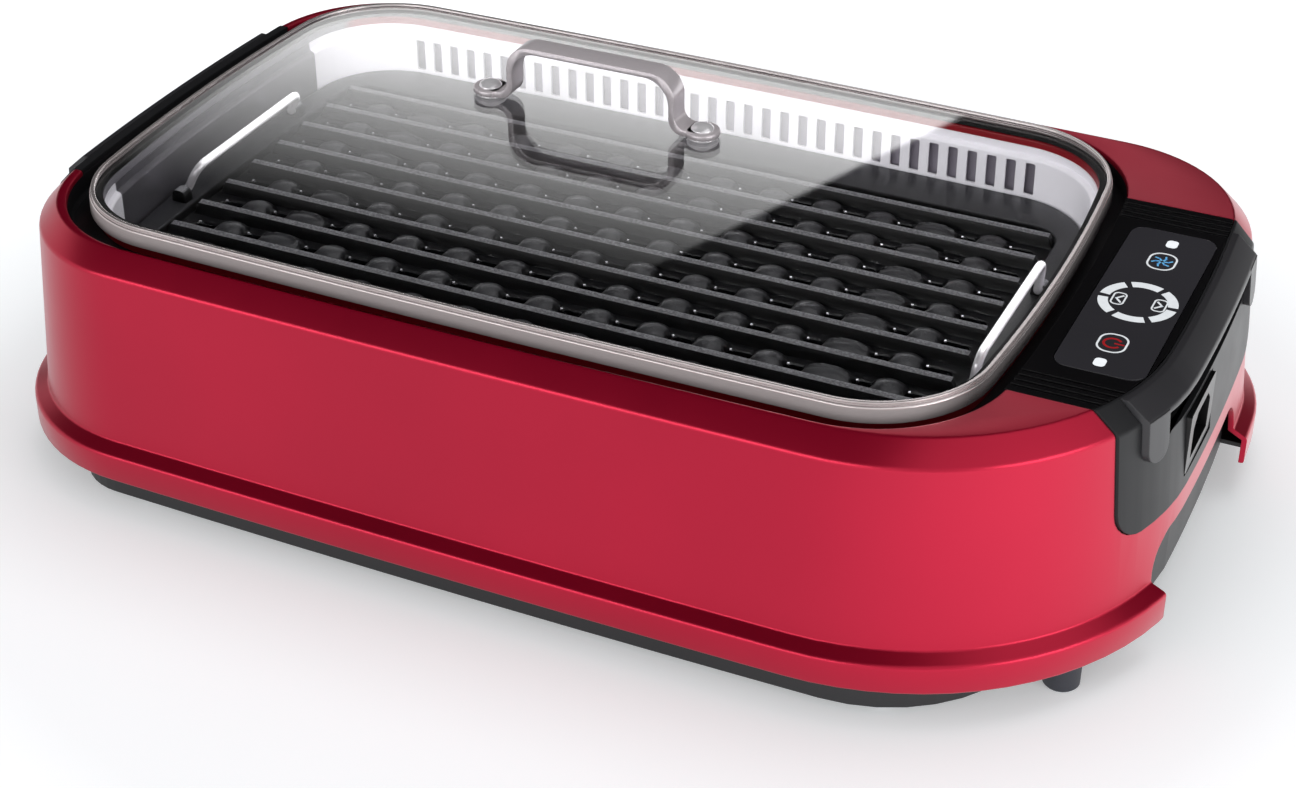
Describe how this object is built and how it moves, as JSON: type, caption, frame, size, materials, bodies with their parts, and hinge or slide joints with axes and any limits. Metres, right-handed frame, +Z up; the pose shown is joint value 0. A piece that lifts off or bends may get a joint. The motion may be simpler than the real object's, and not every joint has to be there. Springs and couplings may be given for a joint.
{
  "type": "electric indoor grill with lid",
  "caption": "Countertop electric grill: red housing, ribbed plate over a drip tray and heating tube, rear blower, touch panel, and a framed glass lid with a strap handle that lifts off.",
  "frame": {"origin": "centre of the bounding box's base, on the table under the feet", "axes": "+X to the right, towards the touch panel and the power inlet; +Y to the back, where the blower is; +Z up"},
  "size_m": [0.5414, 0.3326, 0.1572],
  "materials": {
    "housing_red": "satin",
    "pan_black": "satin",
    "foot_rubber": "matte",
    "screw_steel": "polished",
    "ring_black": "satin",
    "collar_red": "satin",
    "chamber_steel": "satin",
    "shield_steel": "satin",
    "fan_black": "matte",
    "motor_steel": "satin",
    "bearing_brass": "satin",
    "wheel_aluminium": "satin",
    "shaft_steel": "polished",
    "deck_black": "gloss",
    "panel_glass": "gloss",
    "led_white": "lit",
    "board_green": "matte",
    "part_black": "matte",
    "part_blue": "gloss",
    "cover_grey": "satin",
    "grip_grey": "satin",
    "inlet_black": "satin",
    "pin_nickel": "polished",
    "lead_red": "matte",
    "socket_ceramic": "matte",
    "tray_coated": "satin",
    "plate_black": "non-stick coating",
    "heater_steel": "heat-darkened",
    "wire_chrome": "polished",
    "lid_clear": "gloss",
    "rim_steel": "satin",
    "gasket_black": "matte",
    "handle_steel": "satin"
  },
  "bodies": {
    "base": {"outer_housing": "housing_red", "base_pan": "pan_black", "feet": "foot_rubber", "foot_screws": "screw_steel", "case_screws": "screw_steel", "bezel_ring": "ring_black", "lid_collar": "collar_red", "inner_liner": "chamber_steel", "lower_tub": "chamber_steel", "heat_shield": "shield_steel", "blower_housing": "fan_black", "blower_motor": "motor_steel", "wheel_bearings": "bearing_brass", "rear_grille": "ring_black", "control_deck": "deck_black", "touch_glass": "panel_glass", "light_bars": "led_white", "control_board": "board_green", "board_parts": "part_black", "power_board": "board_green", "power_parts": "part_blue", "right_end_cover": "cover_grey", "right_grip": "grip_grey", "left_end_cover": "cover_grey", "left_grip": "grip_grey", "power_inlet": "inlet_black", "inlet_pins": "pin_nickel", "inlet_leads": "lead_red", "heater_socket": "socket_ceramic"},
    "fan": {"blower_wheel": "wheel_aluminium", "wheel_shaft": "shaft_steel"},
    "tray": {"drip_tray": "tray_coated"},
    "plate": {"grill_plate": "plate_black", "heating_tube": "heater_steel", "heater_pins": "pin_nickel", "temperature_probe": "shaft_steel", "handle_lugs": "plate_black"},
    "left_wire": {"wire_handle_left": "wire_chrome"},
    "right_wire": {"wire_handle_right": "wire_chrome"},
    "lid": {"lid_glass": "lid_clear", "lid_rim": "rim_steel", "lid_gasket": "gasket_black", "lid_handle": "handle_steel", "lid_rivets": "screw_steel", "handle_washers": "screw_steel"}
  },
  "joints": [
    {"name": "fan_spin", "type": "hinge", "parent": "base", "child": "fan", "pos_m": [-0.025, 0.1375, 0.062], "axis": [1, 0, 0], "continuous": true},
    {"name": "tray_lift", "type": "slide", "parent": "base", "child": "tray", "axis": [0, 0, 1], "range_m": [0, 0.09]},
    {"name": "plate_lift", "type": "slide", "parent": "tray", "child": "plate", "axis": [0, 0, 1], "range_m": [0, 0.08]},
    {"name": "lid_lift", "type": "slide", "parent": "plate", "child": "lid", "axis": [0, 0, 1], "range_m": [0, 0.07]},
    {"name": "left_wire_swing", "type": "hinge", "parent": "plate", "child": "left_wire", "pos_m": [-0.22, 0.004, 0.0958], "axis": [0, 1, 0], "range_deg": [-48, 47]},
    {"name": "right_wire_swing", "type": "hinge", "parent": "plate", "child": "right_wire", "pos_m": [0.175, -0.01, 0.0958], "axis": [0, 1, 0], "range_deg": [-81, 14]}
  ]
}
